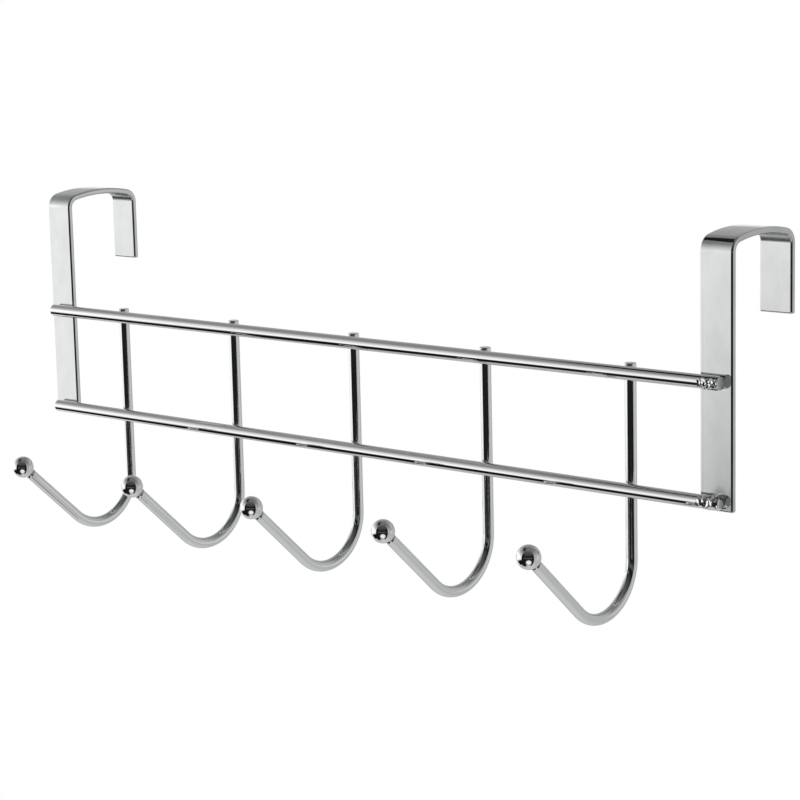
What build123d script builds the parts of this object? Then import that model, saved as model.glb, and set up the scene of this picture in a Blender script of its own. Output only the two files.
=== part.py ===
from build123d import *
import os

# Over door rack: two bent straps carry two round rails, and the rails carry ball-ended hooks.
# X runs along the rails, Y runs back through the door, Z is up.
# The origin is at the top front edge of the door, midway between the straps.
# All sizes are in millimetres and degrees.

# Straps: flat strip bent over the door
strap_spacing = 400.0
strap_width = 16.0
strap_thickness = 2.8
strap_edge_round = 1.0
front_leg = 108.5
back_leg = 32.5
bridge_rise = 2.5
bend_radius = 4.0
door_thickness = 40.0
door_clearance = 0.5

# Rails: round rods welded across the fronts of the straps
rail_diameter = 5.8
upper_rail_drop = 55.3
rail_gap = 49.4
rail_end_inset = 4.0
rail_end_chamfer = 0.3
strap_weld_depth = 0.4

# Hooks: round wires welded behind the rails, bent forward into a J
hook_count = 5
hook_pitch = 78.0
wire_diameter = 5.1
wire_weld_depth = 0.8
wire_top_stand = 0.8
wire_top_round = 0.35
shank_below_rail = 29.7
hook_bend_radius = 21.8
arm_angle = 42.5
arm_length = 43.9

# Balls: bored to press onto spigots turned on the tips of the hook wires
ball_diameter = 10.3
ball_bore_depth = 5.0
ball_bore_chamfer = 0.35
spigot_diameter = 3.0
shoulder_round = 1.0
neck_gap = 0.35

# Places worked out from the sizes above
door_slot = door_thickness + door_clearance
strap_places = (-strap_spacing / 2, strap_spacing / 2)
strap_front = -strap_thickness
rail_length = strap_spacing + strap_width - 2 * rail_end_inset
rail_depth = strap_front - rail_diameter / 2 + strap_weld_depth
upper_rail_height = -upper_rail_drop
lower_rail_height = upper_rail_height - rail_gap
wire_depth = rail_depth + rail_diameter / 2 + wire_diameter / 2 - wire_weld_depth
wire_top = upper_rail_height + rail_diameter / 2 + wire_top_stand
bend_height = lower_rail_height - shank_below_rail
hook_places = [(number - (hook_count - 1) / 2) * hook_pitch for number in range(hook_count)]
tip_short_of_centre = ball_diameter / 2 - ball_bore_depth
bore_mouth_radius = spigot_diameter / 2 + ball_bore_chamfer
bore_mouth_from_centre = ((ball_diameter / 2) ** 2 - bore_mouth_radius**2) ** 0.5
shoulder_from_centre = bore_mouth_from_centre + neck_gap


def make_strap(label, place):
    """One strip, bent over the door: its profile is drawn from the side and extruded by its width."""
    with BuildPart() as strap:
        with BuildSketch(Plane.YZ.offset(place - strap_width / 2)):
            with BuildLine() as door_side:
                Line((0, -front_leg), (0, 0))
                ThreePointArc((0, 0), (door_slot / 2, bridge_rise), (door_slot, 0))
                Line((door_slot, 0), (door_slot, -back_leg))
                fillet(door_side.vertices().group_by(Axis.Y)[-1], radius=bend_radius)
                offset(amount=strap_thickness, side=Side.LEFT)
            make_face()
        extrude(amount=strap_width)
        rims = strap.edges().group_by(Axis.X)
        foot_edges = strap.faces().filter_by(Axis.Z).edges().filter_by(Axis.X)
        fillet(rims[0] + rims[-1] + foot_edges, radius=strap_edge_round)
    strap.part.label = label
    export_step(strap.part, "parts/" + label + ".step")


def make_rail(label, height):
    """One rod, flattened where it is welded to the straps and coped where the hook wires cross it."""
    with BuildPart() as rail:
        with BuildSketch(Plane.YZ.offset(-rail_length / 2)):
            with Locations((rail_depth, height)):
                Circle(rail_diameter / 2)
        extrude(amount=rail_length)
        rims = rail.edges().filter_by(GeomType.CIRCLE)
        chamfer(rims, length=rail_end_chamfer)
        with Locations([(place, strap_front, height) for place in strap_places]):
            behind = (Align.CENTER, Align.MIN, Align.CENTER)
            Box(strap_width, rail_diameter, rail_diameter, align=behind, mode=Mode.SUBTRACT)
        with Locations([(place, wire_depth, height) for place in hook_places]):
            Cylinder(wire_diameter / 2, rail_diameter, mode=Mode.SUBTRACT)
    rail.part.label = label
    export_step(rail.part, "parts/" + label + ".step")


def make_hook(number, place):
    """One wire and its ball: a straight shank, a round bend and a straight arm with a spigot for the ball."""
    with BuildPart() as wire:
        with BuildLine(Plane.YZ.offset(place)) as route:
            shank = Line((wire_depth, wire_top), (wire_depth, bend_height))
            bend = JernArc(shank @ 1, shank % 1, hook_bend_radius, -90 - arm_angle)
            arm = PolarLine(bend @ 1, arm_length - shoulder_from_centre, direction=bend % 1)
        with BuildSketch(Plane(origin=route.line @ 0, z_dir=route.line % 0)):
            Circle(wire_diameter / 2)
        sweep()
        top_rim = wire.faces().sort_by(Axis.Z)[-1].edges()
        fillet(top_rim, radius=wire_top_round)
        shoulder_rim = wire.faces().sort_by(Axis.Y)[0].edges()
        fillet(shoulder_rim, radius=shoulder_round)
        with BuildSketch(Plane(origin=arm @ 1, z_dir=arm % 1)):
            Circle(spigot_diameter / 2)
        extrude(amount=shoulder_from_centre - tip_short_of_centre)
    wire.part.label = "hook_wire_" + str(number)
    export_step(wire.part, "parts/hook_wire_" + str(number) + ".step")

    arm_direction = arm % 1
    ball_centre = arm @ 1 + arm_direction * shoulder_from_centre
    with BuildPart(Plane(origin=ball_centre, x_dir=(1, 0, 0), z_dir=-arm_direction)) as ball:
        Sphere(ball_diameter / 2)
        with Locations((0, 0, ball_diameter / 2)):
            Hole(spigot_diameter / 2, depth=ball_bore_depth)
        mouth = ball.edges().filter_by(GeomType.CIRCLE).sort_by(Axis(ball_centre, -arm_direction))[-1]
        chamfer(mouth, length=ball_bore_chamfer)
    ball.part.label = "ball_" + str(number)
    export_step(ball.part, "parts/ball_" + str(number) + ".step")


os.makedirs("parts", exist_ok=True)
for label, place in zip(("strap_left", "strap_right"), strap_places):
    make_strap(label, place)
make_rail("rail_upper", upper_rail_height)
make_rail("rail_lower", lower_rail_height)
for number, place in enumerate(hook_places, start=1):
    make_hook(number, place)
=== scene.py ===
"""Over door rack in bright chrome: bent straps, round rails and ball-ended wire hooks in a white studio."""
from math import asin, atan2, cos, pi, radians, sin, sqrt

import bmesh
import bpy
from mathutils import Matrix, Vector, noise


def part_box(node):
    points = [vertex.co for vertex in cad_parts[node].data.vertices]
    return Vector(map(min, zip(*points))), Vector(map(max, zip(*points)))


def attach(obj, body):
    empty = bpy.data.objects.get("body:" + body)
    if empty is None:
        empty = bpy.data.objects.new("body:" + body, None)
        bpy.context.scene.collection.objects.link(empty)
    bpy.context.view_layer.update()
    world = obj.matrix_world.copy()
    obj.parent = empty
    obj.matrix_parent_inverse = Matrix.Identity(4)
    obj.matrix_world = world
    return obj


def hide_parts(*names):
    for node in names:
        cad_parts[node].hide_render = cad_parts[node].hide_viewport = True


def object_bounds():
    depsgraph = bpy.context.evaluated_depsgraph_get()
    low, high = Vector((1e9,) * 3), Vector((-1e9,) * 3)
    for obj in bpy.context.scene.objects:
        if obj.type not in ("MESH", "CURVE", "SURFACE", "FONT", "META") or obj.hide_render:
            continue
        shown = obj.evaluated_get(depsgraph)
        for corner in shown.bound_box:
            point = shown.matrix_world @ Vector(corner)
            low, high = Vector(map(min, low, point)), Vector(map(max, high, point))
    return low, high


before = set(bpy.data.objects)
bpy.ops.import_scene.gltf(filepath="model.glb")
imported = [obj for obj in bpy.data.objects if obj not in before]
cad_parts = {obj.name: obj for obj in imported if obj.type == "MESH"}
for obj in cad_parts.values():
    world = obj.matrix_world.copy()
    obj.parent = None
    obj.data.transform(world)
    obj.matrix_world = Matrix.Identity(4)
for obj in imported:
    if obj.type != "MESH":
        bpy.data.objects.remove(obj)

cad_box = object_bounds()

MM = 0.001

# Meshes: a bevel takes a little less than the whole edge beside it, so that no face closes up
MERGE_DISTANCE = 0.002 * MM
EVEN_NORMALS_WEIGHT = 80
BEVEL_SHARE = 0.98

# Straps
STRAP_BEND_RADIUS = 4.0 * MM
STRAP_EDGE_ROUND = 1.0 * MM
STRAP_BACK_LEG = 32.5 * MM
STRAP_CROWN = 0.1 * MM
STRAP_CROWN_CUTS = 9
STRAP_FRONT_TOLERANCE = 0.01 * MM
STRAP_ROUND_SEGMENTS = 5
STRAP_BEND_STEPS = 20
STRAP_BRIDGE_STEPS = 24
STRAP_FOLD_DEPTH = 0.7 * MM

# Rails
RAIL_SEGMENTS = 64
RAIL_END_CHAMFER = 0.3 * MM
RAIL_END_SEGMENTS = 3

# Weld marks on the rails at the right strap
WELD_INSET = {"upper": 2.0 * MM, "lower": 1.6 * MM}
WELD_STEPS = 60
WELD_DEPTH = {"upper": 0.38 * MM, "lower": 0.6 * MM}
WELD_LUMP = {"upper": 1.2 * MM, "lower": 2.0 * MM}
WELD_SPREAD = {"upper": 1.4, "lower": 2.4}
WELD_UPWARD_FADE = 1.8
WELD_LEFT_AT_END = 0.2
WELD_FINE_SHARE = 0.4
WELD_FINE_SCALE = 2.3
WELDED_END_ROUND = {"upper": 0.3 * MM, "lower": 1.3 * MM}
WELDED_END_SEGMENTS = 6

# Hooks
HOOK_COUNT = 5
WIRE_SEGMENTS = 48
WIRE_TOP_ROUND = 0.35 * MM
WIRE_ROUND_SEGMENTS = 6
HOOK_BEND_RADIUS = 21.8 * MM
HOOK_BEND_STEPS = 56
ARM_ANGLE = radians(42.5)

# Balls
BALL_STEPS = 64
BALL_ARC_STEPS = 40
BALL_MOUTH_CHAMFER = 0.35 * MM
BORE_SHORT_OF_CENTRE = 0.15 * MM
SPIGOT_RADIUS = 1.5 * MM
SPIGOT_REACH = 0.9
SHOULDER_ROUND = 1.0 * MM
NECK_GAP = 0.35 * MM

# Chrome: a pattern has its waves in a metre along X, Y and Z and its detail; a polish is smooth, then dull
PATTERN_RANGE = (0.3, 0.7)
STRAP_STREAKS = ((700, 12, 12), 2)
STRAP_CLOUDS = ((150, 90, 90), 3)
STRAP_TINTS = ((0.652, 0.672, 0.668), (0.716, 0.728, 0.720))
STRAP_POLISH = (0.05, 0.08)
STRAP_RIPPLE = 0.004 * MM
FOLD_DULLNESS = 0.25
WARMED_DULLNESS = 0.07
WARMED_HEIGHTS = (-70.0 * MM, -95.0 * MM)
RAIL_MARKS = ((25, 600, 600), 2)
RAIL_CLOUDS = ((120, 120, 120), 2)
RAIL_TINTS = ((0.83, 0.83, 0.84), (0.85, 0.85, 0.85))
RAIL_POLISH = (0.01, 0.025)
CUT_END_DULLNESS = 0.55
HOOK_CLOUDS = ((150, 150, 150), 4)
HOOK_GRAIN = ((600, 600, 600), 2)
HOOK_TINTS = ((0.80, 0.82, 0.83), (0.835, 0.845, 0.85))
HOOK_POLISH = (0.04, 0.07)
HOOK_RIPPLE = 0.05 * MM
BALL_CLOUDS = ((200, 200, 200), 2)
BALL_GRAIN = ((900, 900, 900), 2)
BALL_TINTS = ((0.83, 0.83, 0.84), (0.85, 0.85, 0.85))
BALL_POLISH = (0.02, 0.05)

# Camera, as fitted to the photograph
VIEW_AZIMUTH = radians(41.862)
VIEW_ELEVATION = radians(9.865)
VIEW_ROLL = radians(-1.361)
VIEW_DISTANCE = 1103.8 * MM
VIEW_AIM = Vector((15.6, 12.7, -83.1)) * MM
VIEW_LENS = 108.33

# Floor, in metres
FLOOR_DROP = 0.4
FLOOR_SIZE = 40.0
FLOOR_GREY = 0.5
FLOOR_GLOW = 0.5

# Studio as the chrome sees it: each side lists its shade at each height, in degrees, from below to above
STUDIO_STRENGTH = 1.17
OVERHEAD = ((75, 0.14), (90, 0.16))
FLOOR_BELOW = ((-90, 0.56), (-62, 0.52))
DARK_BELOW = (FLOOR_BELOW[0], (-76, 0.45), (-70, 0.03), (-62, 0.01))
BACKDROP = (
    *FLOOR_BELOW, (-46, 0.45), (-30, 0.42), (-20, 0.45), (-12, 0.75), (4, 0.80), (9, 0.42), (28, 0.34),
    (50, 0.24), *OVERHEAD)
SOFT_BOX_SHADOW = (*FLOOR_BELOW, (-50, 0.48), (-46, 0.40), (-45, 0.005))
SOFT_BOX_FADE = ((31, 0.41), (38, 0.28), (43, 0.23), (51.5, 0.21), (52.6, 0.004), (66, 0.03), *OVERHEAD)
SOFT_BOX_GLOW = ((-10, 0.97), (-5, 0.985), (-1, 1.12), (3, 1.25), (9, 1.05), (18, 0.72), *SOFT_BOX_FADE)
SOFT_BOX_PLAIN = ((0, 0.93), (8, 0.83), (18, 0.66), *SOFT_BOX_FADE)
SOFT_BOX_FAR = (*FLOOR_BELOW, (-46, 0.45), (-41, 0.75), (-28, 0.80), (-18, 0.88), *SOFT_BOX_GLOW)
SOFT_BOX_LOW = (*SOFT_BOX_SHADOW, (-22, 0.005), (-19, 0.60), (-15, 0.90), *SOFT_BOX_GLOW)
SOFT_BOX = (*DARK_BELOW, (-22.5, 0.005), (-19, 0.60), (-14, 0.90), *SOFT_BOX_GLOW)
SOFT_BOX_NEAR = (*DARK_BELOW, (-16.5, 0.005), (-13.5, 0.80), (-10, 0.97), *SOFT_BOX_PLAIN)
SOFT_BOX_CORNER = (
    *DARK_BELOW, (-20, 0.005), (-15, 0.38), (-11.5, 0.63), (-8.4, 0.80), (-6.5, 0.89), *SOFT_BOX_PLAIN)
DARK_EDGE = (*DARK_BELOW, (24, 0.005), (34, 0.06), (60, 0.12), *OVERHEAD)
DARK_SIDE = (
    FLOOR_BELOW[0], (-66, 0.50), (-58, 0.03), (-50, 0.012), (-6, 0.012), (-4, 0.04), (4, 0.10), (7, 0.006),
    (12, 0.006), (19, 0.022), (29, 0.045), (39, 0.06), (59, 0.085), *OVERHEAD)
WALL_FOOT = (*FLOOR_BELOW, (-46, 0.46), (-25, 0.43))
WALL_TOP = ((20, 0.38), (32, 0.26), (55, 0.16), *OVERHEAD)
GREY_WALL = (*WALL_FOOT, (-8, 0.44), (8, 0.40), *WALL_TOP)
PALE_STRIP = (*WALL_FOOT, (-14, 0.58), (2, 0.58), (12, 0.40), *WALL_TOP)
BACK_WALL = (*WALL_FOOT, (-8, 0.44), (8, 0.44), (26, 0.42), (40, 0.34), (58, 0.22), *OVERHEAD)

# Where each side begins past the backdrop, and how soft its edge is, in degrees to the right of the camera
STUDIO_SIDES = (
    (-150, 8, SOFT_BOX_FAR), (-126, 4, SOFT_BOX_LOW), (-100, 4, SOFT_BOX), (-91, 3, SOFT_BOX_NEAR),
    (-79.5, 3, SOFT_BOX_CORNER), (-70.3, 1.5, DARK_EDGE), (-50, 6, DARK_SIDE), (30, 8, DARK_EDGE),
    (46.5, 3.5, GREY_WALL), (76, 4, PALE_STRIP), (97, 4, BACK_WALL), (152, 8, BACKDROP))

# Round fill card below the camera, in degrees: its reach goes from full to nothing
FILL_CARD_BEARING = -3
FILL_CARD_HEIGHT = -38
FILL_CARD_REACH = (12, 27)
FILL_CARD_SHADE = 0.85


def piece_from(shape, name, node, material):
    """Turns a finished bmesh into a piece that stands for a CAD node."""
    bmesh.ops.remove_doubles(shape, verts=shape.verts, dist=MERGE_DISTANCE)
    bmesh.ops.recalc_face_normals(shape, faces=shape.faces)
    mesh = bpy.data.meshes.new(name)
    shape.to_mesh(mesh)
    shape.free()
    mesh.shade_smooth()
    mesh.materials.append(material)
    piece = bpy.data.objects.new(name, mesh)
    bpy.context.scene.collection.objects.link(piece)
    even = piece.modifiers.new("even_normals", "WEIGHTED_NORMAL")
    even.weight = EVEN_NORMALS_WEIGHT
    even.keep_sharp = True
    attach(piece, "root")
    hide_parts(node)


def rim_of(geometry):
    """The edges in an operator's result."""
    return [item for item in geometry if isinstance(item, bmesh.types.BMEdge)]


def draw_out(shape, rim, move):
    """Extends an open rim in a straight line and returns the new rim."""
    made = bmesh.ops.extrude_edge_only(shape, edges=rim)
    verts = [item for item in made["geom"] if isinstance(item, bmesh.types.BMVert)]
    bmesh.ops.translate(shape, verts=verts, vec=move)
    return rim_of(made["geom"])


def bend_round(shape, rim, centre, axis, angle, steps):
    """Carries an open rim round a bend and returns the new rim."""
    verts = list({vert for edge in rim for vert in edge.verts})
    made = bmesh.ops.spin(
        shape, geom=rim + verts, cent=centre, axis=axis, angle=angle, steps=steps, use_merge=False,
        use_duplicate=False)
    return rim_of(made["geom_last"])


def cap_end(shape, rim, size, segments):
    """Closes an open rim with a flat end and rounds its edge."""
    bmesh.ops.contextual_create(shape, geom=rim)
    bmesh.ops.bevel(
        shape, geom=rim, offset=size, offset_type="OFFSET", affect="EDGES", segments=segments, profile=0.5,
        material=-1, clamp_overlap=True)


def crown_front(shape, middle, half_width, front):
    """Gives the front of a strap's outline the faint crown of rolled strip."""
    def in_front(vert):
        return abs(vert.co.y - front) < STRAP_FRONT_TOLERANCE

    face_edges = [edge for edge in shape.edges if all(in_front(vert) for vert in edge.verts)]
    bmesh.ops.subdivide_edges(shape, edges=face_edges, cuts=STRAP_CROWN_CUTS)
    for vert in [vert for vert in shape.verts if in_front(vert)]:
        vert.co.y += STRAP_CROWN * ((vert.co.x - middle) / half_width) ** 2


def make_strap(side, material):
    """A flat strip with rolled edges: front leg, bend, arched bridge, bend and back leg."""
    low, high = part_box("strap_" + side)
    width = high.x - low.x
    middle = (low.x + high.x) / 2
    thickness = -low.y
    slot = high.y - thickness
    rise = high.z - thickness
    bridge_radius = ((slot / 2) ** 2 + rise ** 2) / (2 * rise)
    bridge_centre = Vector((0, slot / 2, rise - bridge_radius))
    reach = slot / 2 - STRAP_BEND_RADIUS
    drop = sqrt((bridge_radius - STRAP_BEND_RADIUS) ** 2 - reach ** 2)
    bend_height = bridge_centre.z + drop
    bridge_half = atan2(reach, drop)
    bend_angle = pi / 2 - bridge_half
    turn_axis = (-1, 0, 0)

    shape = bmesh.new()
    bmesh.ops.create_grid(shape, x_segments=1, y_segments=1, size=0.5)
    bmesh.ops.scale(shape, verts=shape.verts, vec=(width, thickness, 1))
    bmesh.ops.translate(shape, verts=shape.verts, vec=(middle, -thickness / 2, low.z))
    bmesh.ops.bevel(
        shape, geom=shape.verts[:], offset=STRAP_EDGE_ROUND, offset_type="OFFSET", affect="VERTICES",
        segments=STRAP_ROUND_SEGMENTS, profile=0.5, material=-1)
    bmesh.ops.delete(shape, geom=shape.faces[:], context="FACES_ONLY")
    crown_front(shape, middle, width / 2, -thickness)
    foot = shape.edges[:]
    top = draw_out(shape, foot, (0, 0, bend_height - low.z))
    front_centre = (0, STRAP_BEND_RADIUS, bend_height)
    back_centre = (0, slot - STRAP_BEND_RADIUS, bend_height)
    top = bend_round(shape, top, front_centre, turn_axis, bend_angle, STRAP_BEND_STEPS)
    top = bend_round(shape, top, bridge_centre, turn_axis, 2 * bridge_half, STRAP_BRIDGE_STEPS)
    top = bend_round(shape, top, back_centre, turn_axis, bend_angle, STRAP_BEND_STEPS)
    tail = draw_out(shape, top, (0, 0, -STRAP_BACK_LEG - bend_height))
    for rim in (foot, tail):
        cap_end(shape, rim, STRAP_EDGE_ROUND * BEVEL_SHARE, STRAP_ROUND_SEGMENTS)
    fold = shape.verts.layers.float.new("fold")
    for vert in shape.verts:
        for centre in (front_centre, back_centre):
            from_centre = Vector((0, vert.co.y, vert.co.z)) - Vector(centre)
            if from_centre.z > 0 and from_centre.length < STRAP_BEND_RADIUS + STRAP_FOLD_DEPTH:
                vert[fold] = 1
    piece_from(shape, "chrome_strap_" + side, "strap_" + side, material)


def crumple_weld(verts, axis_y, axis_z, start, end, depth, lump, spread):
    """Pushes a rail in and out, most of all below, where it was welded to the right strap."""
    for vert in verts:
        past_start = (vert.co.x - start) / lump
        before_end = WELD_LEFT_AT_END + (end - vert.co.x) / lump
        if past_start <= 0:
            continue
        outward = Vector((0, vert.co.y - axis_y, vert.co.z - axis_z)).normalized()
        lower = max(0, min(1, spread - WELD_UPWARD_FADE * outward.z))
        fine = noise.noise(vert.co * WELD_FINE_SCALE / lump)
        lumps = noise.noise(vert.co / lump) + WELD_FINE_SHARE * fine
        vert.co += outward * (depth * min(1, past_start, before_end) * lower * lumps)


def make_rail(place, material):
    """A round rod along the rack, with lightly broken ends and weld marks at the right strap."""
    low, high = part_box("rail_" + place)
    strap_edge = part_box("strap_right")[0].x
    radius = (high.z - low.z) / 2
    axis_y = low.y + radius
    axis_z = low.z + radius
    end_round = WELDED_END_ROUND[place]
    weld_start = strap_edge + WELD_INSET[place]
    weld_end = high.x - end_round
    shape = bmesh.new()
    bmesh.ops.create_circle(shape, segments=RAIL_SEGMENTS, radius=radius)
    bmesh.ops.rotate(shape, verts=shape.verts, cent=(0, 0, 0), matrix=Matrix.Rotation(pi / 2, 3, "Y"))
    bmesh.ops.translate(shape, verts=shape.verts, vec=(low.x, axis_y, axis_z))
    left_end = shape.edges[:]
    rim = draw_out(shape, left_end, (weld_start - low.x, 0, 0))
    for _ in range(WELD_STEPS):
        rim = draw_out(shape, rim, ((weld_end - weld_start) / WELD_STEPS, 0, 0))
    right_end = draw_out(shape, rim, (high.x - weld_end, 0, 0))
    cap_end(shape, left_end, RAIL_END_CHAMFER, RAIL_END_SEGMENTS)
    cap_end(shape, right_end, end_round * BEVEL_SHARE, WELDED_END_SEGMENTS)
    crumple_weld(
        shape.verts, axis_y, axis_z, start=weld_start, end=high.x, depth=WELD_DEPTH[place],
        lump=WELD_LUMP[place], spread=WELD_SPREAD[place])
    cut = shape.verts.layers.float.new("cut_end")
    for face in shape.faces:
        if len(face.verts) == RAIL_SEGMENTS:
            for vert in face.verts:
                vert[cut] = 1
    piece_from(shape, "chrome_rail_" + place, "rail_" + place, material)


def shoulder_from_centre(ball_radius):
    """How far below the centre of its ball the arm of a hook ends."""
    mouth_radius = SPIGOT_RADIUS + BALL_MOUTH_CHAMFER
    return sqrt(ball_radius ** 2 - mouth_radius ** 2) + NECK_GAP


def make_hook_wire(number, material):
    """A round wire: straight shank, round bend and straight arm, with a spigot that enters its ball."""
    node = "hook_wire_" + str(number)
    low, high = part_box(node)
    ball_low, ball_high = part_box("ball_" + str(number))
    ball_centre = (ball_low + ball_high) / 2
    shoulder = shoulder_from_centre((ball_high.x - ball_low.x) / 2)
    radius = (high.x - low.x) / 2
    axis_y = high.y - radius
    bend_height = low.z + radius + HOOK_BEND_RADIUS
    bend_centre = Vector((0, axis_y - HOOK_BEND_RADIUS, bend_height))
    bend_end = bend_centre + HOOK_BEND_RADIUS * Vector((0, -sin(ARM_ANGLE), -cos(ARM_ANGLE)))
    arm = ball_centre - bend_end
    arm.x = 0
    direction = arm.normalized()

    shape = bmesh.new()
    bmesh.ops.create_circle(shape, segments=WIRE_SEGMENTS, radius=radius)
    bmesh.ops.translate(shape, verts=shape.verts, vec=((low.x + high.x) / 2, axis_y, high.z))
    top = shape.edges[:]
    rim = draw_out(shape, top, (0, 0, bend_height - high.z))
    rim = bend_round(shape, rim, bend_centre, (-1, 0, 0), pi / 2 + ARM_ANGLE, HOOK_BEND_STEPS)
    shoulder_rim = draw_out(shape, rim, arm - direction * shoulder)
    cap_end(shape, top, WIRE_TOP_ROUND, WIRE_ROUND_SEGMENTS)
    cap_end(shape, shoulder_rim, SHOULDER_ROUND, WIRE_ROUND_SEGMENTS)
    flats = [face for face in shape.faces if len(face.verts) == WIRE_SEGMENTS]
    tip = min(flats, key=lambda face: face.calc_center_median().z)
    bmesh.ops.inset_region(shape, faces=[tip], thickness=radius - SHOULDER_ROUND - SPIGOT_RADIUS)
    for edge in tip.edges:
        edge.smooth = False
    tip = bmesh.ops.extrude_discrete_faces(shape, faces=[tip])["faces"][0]
    bmesh.ops.translate(shape, verts=tip.verts, vec=direction * shoulder * SPIGOT_REACH)
    piece_from(shape, "chrome_hook_wire_" + str(number), node, material)


def make_ball(number, material):
    """A ball turned about its arm, with a bore and a chamfered mouth where the spigot goes in."""
    node = "ball_" + str(number)
    low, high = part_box(node)
    centre = (low + high) / 2
    radius = (high.x - low.x) / 2
    arm = Vector((0, -cos(ARM_ANGLE), sin(ARM_ANGLE)))
    sweep = pi - asin((SPIGOT_RADIUS + BALL_MOUTH_CHAMFER) / radius)

    shape = bmesh.new()
    crown = bmesh.ops.create_vert(shape, co=centre + radius * arm)["vert"]
    made = bmesh.ops.spin(
        shape, geom=crown, cent=centre, axis=(-1, 0, 0), angle=sweep, steps=BALL_ARC_STEPS, use_merge=False,
        use_duplicate=False)
    mouth = [item for item in made["geom_last"] if isinstance(item, bmesh.types.BMVert)]
    outward = mouth[0].co - centre
    outward = (outward - outward.dot(arm) * arm).normalized()
    step_in = bmesh.ops.extrude_vert_indiv(shape, verts=mouth)["verts"]
    bmesh.ops.translate(shape, verts=step_in, vec=(arm - outward) * BALL_MOUTH_CHAMFER)
    bore_length = (centre - step_in[0].co).dot(arm) - BORE_SHORT_OF_CENTRE
    bore_floor = bmesh.ops.extrude_vert_indiv(shape, verts=step_in)["verts"]
    bmesh.ops.translate(shape, verts=bore_floor, vec=arm * bore_length)
    floor_middle = bmesh.ops.extrude_vert_indiv(shape, verts=bore_floor)["verts"]
    bmesh.ops.translate(shape, verts=floor_middle, vec=-outward * SPIGOT_RADIUS)
    bmesh.ops.spin(
        shape, geom=shape.verts[:] + shape.edges[:], cent=centre, axis=arm, angle=2 * pi, steps=BALL_STEPS,
        use_merge=True, use_duplicate=False)
    piece_from(shape, "chrome_ball_" + str(number), node, material)


def chrome(name):
    """A chrome material: returns it with its node tree and its shader."""
    material = bpy.data.materials.new(name)
    material.use_nodes = True
    tree = material.node_tree
    shader = tree.nodes["Principled BSDF"]
    shader.inputs["Metallic"].default_value = 1
    return material, tree, shader


def surface_noise(tree, stretch, detail):
    """Noise over the piece's own coordinates; stretch is its waves in a metre along X, Y and Z."""
    place = tree.nodes.new("ShaderNodeTexCoord")
    scale = tree.nodes.new("ShaderNodeMapping")
    scale.inputs["Scale"].default_value = stretch
    waves = tree.nodes.new("ShaderNodeTexNoise")
    waves.inputs["Scale"].default_value = 1
    waves.inputs["Detail"].default_value = detail
    tree.links.new(place.outputs["Object"], scale.inputs["Vector"])
    tree.links.new(scale.outputs["Vector"], waves.inputs["Vector"])
    return waves.outputs["Fac"]


def tint_by(tree, shader, pattern, first, second):
    """Lets a pattern move the base colour between two close tints."""
    ramp = tree.nodes.new("ShaderNodeValToRGB")
    ramp.color_ramp.elements[0].position = PATTERN_RANGE[0]
    ramp.color_ramp.elements[1].position = PATTERN_RANGE[1]
    ramp.color_ramp.elements[0].color = (*first, 1)
    ramp.color_ramp.elements[1].color = (*second, 1)
    tree.links.new(pattern, ramp.inputs["Fac"])
    tree.links.new(ramp.outputs["Color"], shader.inputs["Base Color"])


def gloss_by(tree, shader, pattern, smooth, dull):
    """Lets a pattern move the roughness between two values."""
    spread = tree.nodes.new("ShaderNodeMapRange")
    spread.inputs["From Min"].default_value = PATTERN_RANGE[0]
    spread.inputs["From Max"].default_value = PATTERN_RANGE[1]
    spread.inputs["To Min"].default_value = smooth
    spread.inputs["To Max"].default_value = dull
    tree.links.new(pattern, spread.inputs["Value"])
    tree.links.new(spread.outputs["Result"], shader.inputs["Roughness"])


def ripple_by(tree, shader, pattern, height):
    """Lets a pattern ripple the surface by a height in metres."""
    bump = tree.nodes.new("ShaderNodeBump")
    bump.inputs["Strength"].default_value = 1
    bump.inputs["Distance"].default_value = height
    tree.links.new(pattern, bump.inputs["Height"])
    tree.links.new(bump.outputs["Normal"], shader.inputs["Normal"])


def add_dullness(tree, shader, share, dullness):
    """Adds roughness to what the shader already has, in proportion to a share."""
    polish = shader.inputs["Roughness"].links[0].from_socket
    extra = link_math(tree, "MULTIPLY", share, dullness)
    tree.links.new(link_math(tree, "ADD", polish, extra), shader.inputs["Roughness"])


def dull_where(tree, shader, mark, dullness):
    """Adds roughness where an attribute of the piece marks a sawn face or a fold."""
    marked = tree.nodes.new("ShaderNodeAttribute")
    marked.attribute_name = mark
    add_dullness(tree, shader, marked.outputs["Fac"], dullness)


def dull_towards_foot(tree, shader, dullness):
    """Adds roughness to the lower ends of the straps, which the welding has warmed."""
    place = tree.nodes.new("ShaderNodeTexCoord")
    parts = tree.nodes.new("ShaderNodeSeparateXYZ")
    tree.links.new(place.outputs["Object"], parts.inputs["Vector"])
    warmed = tree.nodes.new("ShaderNodeMapRange")
    warmed.inputs["From Min"].default_value = WARMED_HEIGHTS[0]
    warmed.inputs["From Max"].default_value = WARMED_HEIGHTS[1]
    tree.links.new(parts.outputs["Z"], warmed.inputs["Value"])
    add_dullness(tree, shader, warmed.outputs["Result"], dullness)


def make_strap_chrome():
    """Chrome on rolled strip: soft streaks, faint clouds, dull folds and warmed lower ends."""
    material, tree, shader = chrome("strap_chrome")
    streaks = surface_noise(tree, *STRAP_STREAKS)
    clouds = surface_noise(tree, *STRAP_CLOUDS)
    tint_by(tree, shader, clouds, *STRAP_TINTS)
    gloss_by(tree, shader, streaks, *STRAP_POLISH)
    dull_where(tree, shader, "fold", FOLD_DULLNESS)
    dull_towards_foot(tree, shader, WARMED_DULLNESS)
    ripple_by(tree, shader, clouds, STRAP_RIPPLE)
    return material


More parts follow.
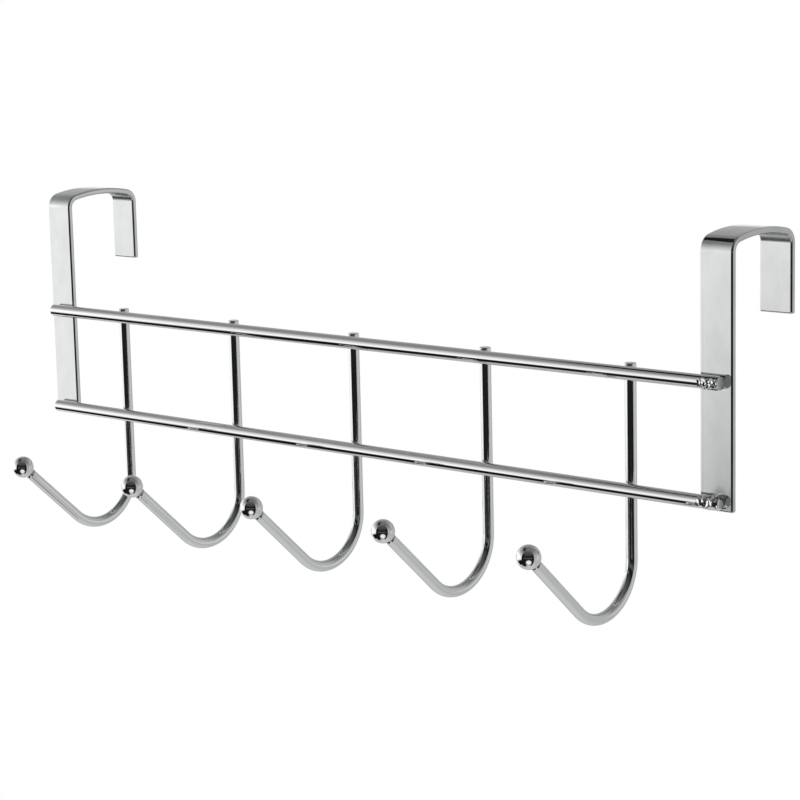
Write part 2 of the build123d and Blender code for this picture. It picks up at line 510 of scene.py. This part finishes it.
def make_rail_chrome():
    """Chrome on drawn rod: nearly a mirror, with faint draw marks along the rod and dull sawn ends."""
    material, tree, shader = chrome("rail_chrome")
    marks = surface_noise(tree, *RAIL_MARKS)
    clouds = surface_noise(tree, *RAIL_CLOUDS)
    tint_by(tree, shader, clouds, *RAIL_TINTS)
    gloss_by(tree, shader, marks, *RAIL_POLISH)
    dull_where(tree, shader, "cut_end", CUT_END_DULLNESS)
    return material


def make_hook_chrome():
    """Chrome on bent wire: bright, a little uneven from the bending."""
    material, tree, shader = chrome("hook_chrome")
    clouds = surface_noise(tree, *HOOK_CLOUDS)
    grain = surface_noise(tree, *HOOK_GRAIN)
    tint_by(tree, shader, clouds, *HOOK_TINTS)
    gloss_by(tree, shader, grain, *HOOK_POLISH)
    ripple_by(tree, shader, clouds, HOOK_RIPPLE)
    return material


def make_ball_chrome():
    """Chrome on a turned ball: the brightest finish of the rack."""
    material, tree, shader = chrome("ball_chrome")
    clouds = surface_noise(tree, *BALL_CLOUDS)
    grain = surface_noise(tree, *BALL_GRAIN)
    tint_by(tree, shader, clouds, *BALL_TINTS)
    gloss_by(tree, shader, grain, *BALL_POLISH)
    return material


def direction_at(bearing, height):
    """The direction at a bearing round from the front of the rack and a height above level."""
    return Vector((sin(bearing) * cos(height), -cos(bearing) * cos(height), sin(height)))


def make_camera():
    """The photograph's view: its place and turn follow the fitted angles."""
    back = direction_at(VIEW_AZIMUTH, VIEW_ELEVATION)
    level = Vector((cos(VIEW_AZIMUTH), sin(VIEW_AZIMUTH), 0))
    upright = back.cross(level)
    right = cos(VIEW_ROLL) * level + sin(VIEW_ROLL) * upright
    up = back.cross(right)
    lens = bpy.data.cameras.new("photo_camera")
    lens.lens = VIEW_LENS
    camera = bpy.data.objects.new("photo_camera", lens)
    turn = Matrix((right, up, back)).transposed().to_4x4()
    camera.matrix_world = Matrix.Translation(VIEW_AIM + VIEW_DISTANCE * back) @ turn
    bpy.context.scene.collection.objects.link(camera)
    bpy.context.scene.camera = camera


def link_math(tree, operation, first, second):
    """A Math node on two inputs, each a socket or a number."""
    node = tree.nodes.new("ShaderNodeMath")
    node.operation = operation
    for socket, value in zip(node.inputs, (first, second)):
        if isinstance(value, bpy.types.NodeSocket):
            tree.links.new(value, socket)
        else:
            socket.default_value = value
    return node.outputs["Value"]


def soft_step(tree, value, edge, softness):
    """0 below an edge and 1 above it, in degrees, with a soft change between."""
    step = tree.nodes.new("ShaderNodeMapRange")
    step.interpolation_type = "SMOOTHSTEP"
    step.inputs["From Min"].default_value = radians(edge - softness)
    step.inputs["From Max"].default_value = radians(edge + softness)
    tree.links.new(value, step.inputs["Value"])
    return step.outputs["Result"]


def side_shade(tree, height, stops):
    """How bright one side of the studio is at each height, from straight down to straight up."""
    share = tree.nodes.new("ShaderNodeMapRange")
    share.inputs["From Min"].default_value = -pi / 2
    share.inputs["From Max"].default_value = pi / 2
    tree.links.new(height, share.inputs["Value"])
    ramp = tree.nodes.new("ShaderNodeValToRGB")
    shades = ramp.color_ramp.elements
    while len(shades) < len(stops):
        shades.new(0.5)
    for shade, (angle, brightness) in zip(shades, stops):
        shade.position = (angle + 90) / 180
        shade.color = (brightness, brightness, brightness, 1)
    tree.links.new(share.outputs["Result"], ramp.inputs["Fac"])
    return ramp.outputs["Color"]


def blend(tree, factor, first, second):
    """A mix of two shades."""
    mix = tree.nodes.new("ShaderNodeMix")
    mix.data_type = "RGBA"
    tree.links.new(factor, mix.inputs["Factor"])
    for socket, value in ((mix.inputs["A"], first), (mix.inputs["B"], second)):
        if isinstance(value, bpy.types.NodeSocket):
            tree.links.new(value, socket)
        else:
            socket.default_value = (value, value, value, 1)
    return mix.outputs["Result"]


def round_card(tree, direction):
    """1 inside a round fill card below the camera and 0 outside it, with a soft rim."""
    middle = direction_at(radians(FILL_CARD_BEARING), radians(FILL_CARD_HEIGHT))
    nearness = tree.nodes.new("ShaderNodeVectorMath")
    nearness.operation = "DOT_PRODUCT"
    nearness.inputs[1].default_value = middle
    tree.links.new(direction, nearness.inputs[0])
    rim = tree.nodes.new("ShaderNodeMapRange")
    rim.interpolation_type = "SMOOTHSTEP"
    rim.inputs["From Min"].default_value = cos(radians(FILL_CARD_REACH[1]))
    rim.inputs["From Max"].default_value = cos(radians(FILL_CARD_REACH[0]))
    tree.links.new(nearness.outputs["Value"], rim.inputs["Value"])
    return rim.outputs["Result"]


def make_world():
    """A white studio; the chrome sees its soft box, walls, dark side and floor around it."""
    world = bpy.data.worlds.new("studio")
    bpy.context.scene.world = world
    world.use_nodes = True
    tree = world.node_tree
    looking = tree.nodes.new("ShaderNodeTexCoord")
    turned = tree.nodes.new("ShaderNodeMapping")
    turned.inputs["Rotation"].default_value = (0, 0, -VIEW_AZIMUTH)
    tree.links.new(looking.outputs["Generated"], turned.inputs["Vector"])
    parts = tree.nodes.new("ShaderNodeSeparateXYZ")
    tree.links.new(turned.outputs["Vector"], parts.inputs["Vector"])
    toward = link_math(tree, "MULTIPLY", parts.outputs["Y"], -1.0)
    bearing = link_math(tree, "ARCTAN2", parts.outputs["X"], toward)
    height = link_math(tree, "ARCSINE", parts.outputs["Z"], 0.0)

    shade = side_shade(tree, height, BACKDROP)
    for edge, softness, stops in STUDIO_SIDES:
        past_edge = soft_step(tree, bearing, edge, softness)
        shade = blend(tree, past_edge, shade, side_shade(tree, height, stops))
    shade = blend(tree, round_card(tree, turned.outputs["Vector"]), shade, FILL_CARD_SHADE)

    seen = tree.nodes["Background"]
    seen.inputs["Color"].default_value = (1, 1, 1, 1)
    mirrored = tree.nodes.new("ShaderNodeBackground")
    mirrored.inputs["Strength"].default_value = STUDIO_STRENGTH
    tree.links.new(shade, mirrored.inputs["Color"])
    ray = tree.nodes.new("ShaderNodeLightPath")
    choice = tree.nodes.new("ShaderNodeMixShader")
    tree.links.new(ray.outputs["Is Glossy Ray"], choice.inputs["Fac"])
    tree.links.new(seen.outputs["Background"], choice.inputs[1])
    tree.links.new(mirrored.outputs["Background"], choice.inputs[2])
    tree.links.new(choice.outputs["Shader"], tree.nodes["World Output"].inputs["Surface"])


def make_floor():
    """A wide pale floor below the hooks: white to the eye, with a soft shadow of the rack."""
    shape = bmesh.new()
    bmesh.ops.create_grid(shape, x_segments=1, y_segments=1, size=FLOOR_SIZE / 2)
    mesh = bpy.data.meshes.new("studio_floor")
    shape.to_mesh(mesh)
    shape.free()
    floor = bpy.data.objects.new("studio_floor", mesh)
    floor.location.z = cad_box[0].z - FLOOR_DROP
    floor.visible_glossy = False
    bpy.context.scene.collection.objects.link(floor)
    material = bpy.data.materials.new("studio_floor")
    material.use_nodes = True
    tree = material.node_tree
    shader = tree.nodes["Principled BSDF"]
    shader.inputs["Base Color"].default_value = (FLOOR_GREY, FLOOR_GREY, FLOOR_GREY, 1)
    shader.inputs["Roughness"].default_value = 1
    shader.inputs["Specular IOR Level"].default_value = 0
    shader.inputs["Emission Color"].default_value = (1, 1, 1, 1)
    ray = tree.nodes.new("ShaderNodeLightPath")
    glow = link_math(tree, "MULTIPLY", ray.outputs["Is Camera Ray"], FLOOR_GLOW)
    tree.links.new(glow, shader.inputs["Emission Strength"])
    mesh.materials.append(material)


strap_metal = make_strap_chrome()
rail_metal = make_rail_chrome()
hook_metal = make_hook_chrome()
ball_metal = make_ball_chrome()
for side in ("left", "right"):
    make_strap(side, strap_metal)
for place in ("upper", "lower"):
    make_rail(place, rail_metal)
for number in range(1, HOOK_COUNT + 1):
    make_hook_wire(number, hook_metal)
    make_ball(number, ball_metal)
make_camera()
make_world()
make_floor()
bpy.context.scene.view_settings.view_transform = "Standard"
